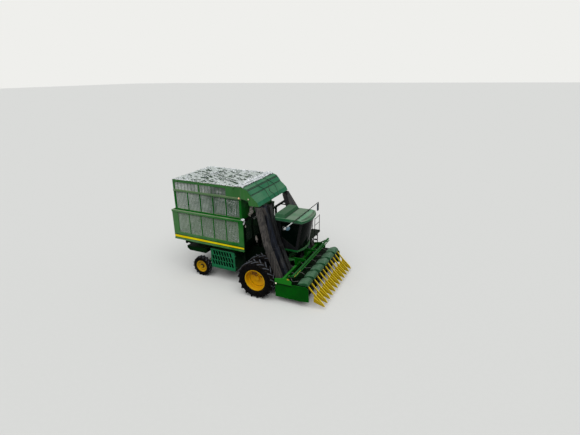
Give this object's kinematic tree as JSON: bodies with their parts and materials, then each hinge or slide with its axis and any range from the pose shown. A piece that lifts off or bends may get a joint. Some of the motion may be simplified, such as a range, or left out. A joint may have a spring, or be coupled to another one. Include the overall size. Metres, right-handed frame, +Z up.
{
  "type": "basket-type self-propelled six-row cotton harvester",
  "caption": "Self-propelled cotton harvester with a tall mesh basket, side ducts, a cab, twin drive wheels and a row header with yellow dividers.",
  "frame": {"origin": "on the ground under the middle of the machine's box", "axes": "+X forward to the header, +Y to the machine's left, +Z up"},
  "size_m": [9.19, 5.082, 5.38],
  "materials": {
    "green_paint": "gloss enamel",
    "dark_green_paint": "worn enamel",
    "yellow_paint": "gloss enamel",
    "black_paint": "satin enamel",
    "tyre_rubber": "dusty rubber",
    "tinted_glass": "tinted",
    "seat_fabric": "woven",
    "duct_plastic": "dusty moulded",
    "cast_iron": "cast",
    "chrome_rod": "ground"
  },
  "bodies": {
    "chassis": {"chassis": "green_paint", "front_axle": "green_paint", "rear_axle": "green_paint", "engine": "cast_iron", "engine_housing": "green_paint", "side_tank": "green_paint", "rear_boxes": "green_paint", "platform": "green_paint", "ladder": "black_paint", "cab_floor": "green_paint", "cab_frame": "black_paint", "cab_roof": "green_paint", "cab_glass": "tinted_glass", "cab_seat": "seat_fabric", "mirror_bar": "black_paint", "basket_posts": "green_paint", "duct_stand": "dark_green_paint", "air_fan": "dark_green_paint", "upper_ducts": "duct_plastic"},
    "screen_door": {"screen_door": "green_paint"},
    "cab_door": {"cab_door": "black_paint", "door_glass": "tinted_glass"},
    "drive_right": {"outer_tyre_right": "tyre_rubber", "inner_tyre_right": "tyre_rubber", "drive_rims_right": "yellow_paint"},
    "drive_left": {"outer_tyre_left": "tyre_rubber", "inner_tyre_left": "tyre_rubber", "drive_rims_left": "yellow_paint"},
    "steer_right": {"knuckle_right": "green_paint"},
    "steer_left": {"knuckle_left": "green_paint"},
    "rear_right": {"steer_tyre_right": "tyre_rubber", "steer_rim_right": "yellow_paint"},
    "rear_left": {"steer_tyre_left": "tyre_rubber", "steer_rim_left": "yellow_paint"},
    "header": {"header_frame": "green_paint", "duct_ports": "duct_plastic", "row_1": "green_paint", "row_2": "green_paint", "row_3": "green_paint", "row_4": "green_paint", "row_5": "green_paint", "row_6": "green_paint", "row_covers": "green_paint", "dividers": "yellow_paint"},
    "lower_ducts": {"lower_ducts": "duct_plastic"},
    "basket": {"basket_floor": "dark_green_paint", "basket_right": "green_paint", "basket_left": "green_paint", "basket_front_wall": "green_paint", "basket_rear_wall": "green_paint", "top_right": "green_paint", "top_left": "green_paint", "top_front_wall": "green_paint", "top_rear_wall": "green_paint", "hood": "green_paint"},
    "roof": {"roof_lid": "green_paint"},
    "tip_barrels": {"tip_barrels": "black_paint"},
    "tip_rods": {"tip_rods": "chrome_rod"},
    "lift_barrels": {"lift_barrels": "black_paint"},
    "lift_rods": {"lift_rods": "chrome_rod"}
  },
  "joints": [
    {"name": "drive_right_spin", "type": "hinge", "parent": "chassis", "child": "drive_right", "pos_m": [1.055, -1.905, 0.96], "axis": [0, 1, 0], "continuous": true},
    {"name": "steer_right_turn", "type": "hinge", "parent": "chassis", "child": "steer_right", "pos_m": [-2.795, -1.36, 0.56], "axis": [0, 0, 1], "range_deg": [-35, 35]},
    {"name": "rear_right_spin", "type": "hinge", "parent": "steer_right", "child": "rear_right", "pos_m": [-2.795, -1.59, 0.56], "axis": [0, 1, 0], "continuous": true},
    {"name": "drive_left_spin", "type": "hinge", "parent": "chassis", "child": "drive_left", "pos_m": [1.055, 1.905, 0.96], "axis": [0, 1, 0], "continuous": true},
    {"name": "steer_left_turn", "type": "hinge", "parent": "chassis", "child": "steer_left", "pos_m": [-2.795, 1.36, 0.56], "axis": [0, 0, 1], "range_deg": [-35, 35]},
    {"name": "rear_left_spin", "type": "hinge", "parent": "steer_left", "child": "rear_left", "pos_m": [-2.795, 1.59, 0.56], "axis": [0, 1, 0], "continuous": true},
    {"name": "header_lift", "type": "hinge", "parent": "chassis", "child": "header", "pos_m": [1.405, 0, 0.87], "axis": [0, -1, 0], "range_deg": [0, 12]},
    {"name": "lower_duct_slide", "type": "slide", "parent": "chassis", "child": "lower_ducts", "axis": [-0.3584, 0, 0.9336], "range_m": [0, 0.22]},
    {"name": "lift_barrel_swing", "type": "hinge", "parent": "chassis", "child": "lift_barrels", "pos_m": [1.535, 0, 0.64], "axis": [0, -1, 0], "range_deg": [0, 10.7]},
    {"name": "lift_rod_slide", "type": "slide", "parent": "lift_barrels", "child": "lift_rods", "axis": [0.5525, 0, 0.8335], "range_m": [0, 0.051]},
    {"name": "basket_tip", "type": "hinge", "parent": "chassis", "child": "basket", "pos_m": [0, 1.5, 1.89], "axis": [-1, 0, 0], "range_deg": [0, 75]},
    {"name": "tip_barrel_swing", "type": "hinge", "parent": "chassis", "child": "tip_barrels", "pos_m": [0, 0.43, 1.42], "axis": [-1, 0, 0], "range_deg": [0, 54.2]},
    {"name": "tip_rod_slide", "type": "slide", "parent": "tip_barrels", "child": "tip_rods", "axis": [0, -0.2626, 0.9649], "range_m": [0, 1.187]},
    {"name": "roof_lid_swing", "type": "hinge", "parent": "basket", "child": "roof", "pos_m": [0, -1.624, 5.306], "axis": [1, 0, 0], "range_deg": [0, 70]},
    {"name": "cab_door_swing", "type": "hinge", "parent": "chassis", "child": "cab_door", "pos_m": [2.001, 0.83, 2.9], "axis": [0, 0, 1], "range_deg": [0, 80]},
    {"name": "screen_door_swing", "type": "hinge", "parent": "chassis", "child": "screen_door", "pos_m": [-0.561, -1.646, 1.2], "axis": [0, 0, 1], "range_deg": [0, 100]}
  ],
  "couplings": [
    {"joint": "steer_left_turn", "follows": "steer_right_turn", "ratio": 1},
    {"joint": "lower_duct_slide", "follows": "header_lift", "m_per_rad": 1},
    {"joint": "lift_barrel_swing", "follows": "header_lift", "ratio": 0.8668},
    {"joint": "lift_rod_slide", "follows": "header_lift", "m_per_rad": 0.2232},
    {"joint": "tip_barrel_swing", "follows": "basket_tip", "ratio": 0.7161},
    {"joint": "tip_rod_slide", "follows": "basket_tip", "m_per_rad": 0.9022}
  ]
}
